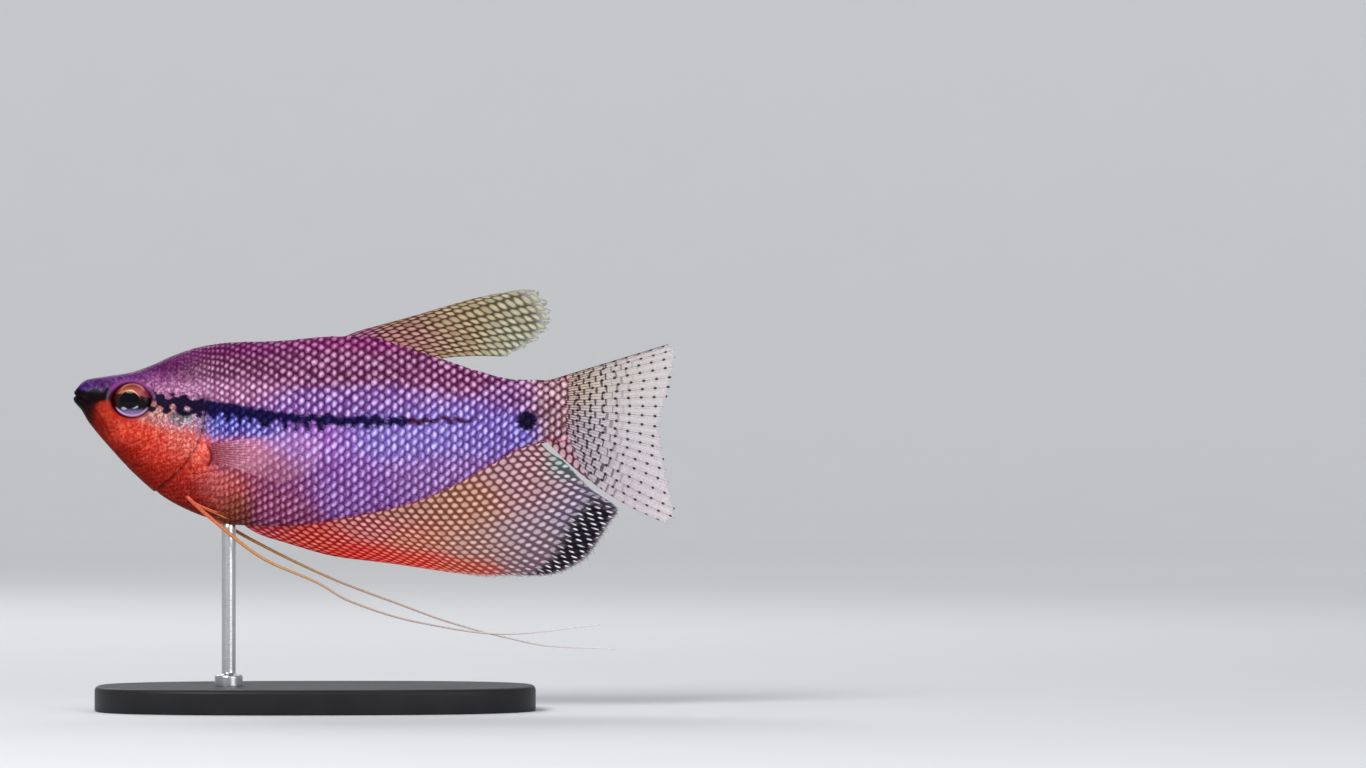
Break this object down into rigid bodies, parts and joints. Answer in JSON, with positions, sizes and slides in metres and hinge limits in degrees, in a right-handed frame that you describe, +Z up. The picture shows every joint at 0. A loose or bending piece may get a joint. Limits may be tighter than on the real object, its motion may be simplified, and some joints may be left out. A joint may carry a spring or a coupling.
{
  "type": "pearl gourami display model",
  "caption": "Life-size deep-bodied freshwater fish with long thread-like feelers and flowing ribbed fins, held level by a rod over a flat oval base.",
  "frame": {"origin": "on the floor under the middle of the bounding box of the whole model", "axes": "+X from the snout towards the tail, +Y from the fish's left side to its right side, +Z up along its height"},
  "size_m": [0.1203, 0.048, 0.0841],
  "materials": {
    "flesh": "wet scaled skin, violet with pale pearl spots",
    "throat": "wet smooth skin, red-orange",
    "jaw": "wet smooth skin, dark",
    "fin": "thin ribbed fin skin with pale spots",
    "anal_fin": "thin ribbed fin skin, red to lilac with a dark edge",
    "feeler": "smooth orange thread paling to white",
    "eye": "clear glossy eye with an orange iris and black pupil",
    "stand_base": "satin black",
    "stand_rod": "brushed"
  },
  "bodies": {
    "root": {"head": "flesh", "lower_jaw": "jaw", "gill_cover_left": "throat", "gill_cover_right": "throat", "torso": "flesh", "tail_stalk": "flesh", "eye_left": "eye", "eye_right": "eye", "dorsal_fin": "fin", "anal_fin": "anal_fin", "tail_fin": "fin", "pectoral_fin_left": "fin", "pectoral_fin_right": "fin", "feeler_left_root": "feeler", "feeler_left_middle": "feeler", "feeler_left_tip": "feeler", "feeler_right_root": "feeler", "feeler_right_middle": "feeler", "feeler_right_tip": "feeler", "stand_base": "stand_base", "stand_rod": "stand_rod"}
  },
  "joints": []
}
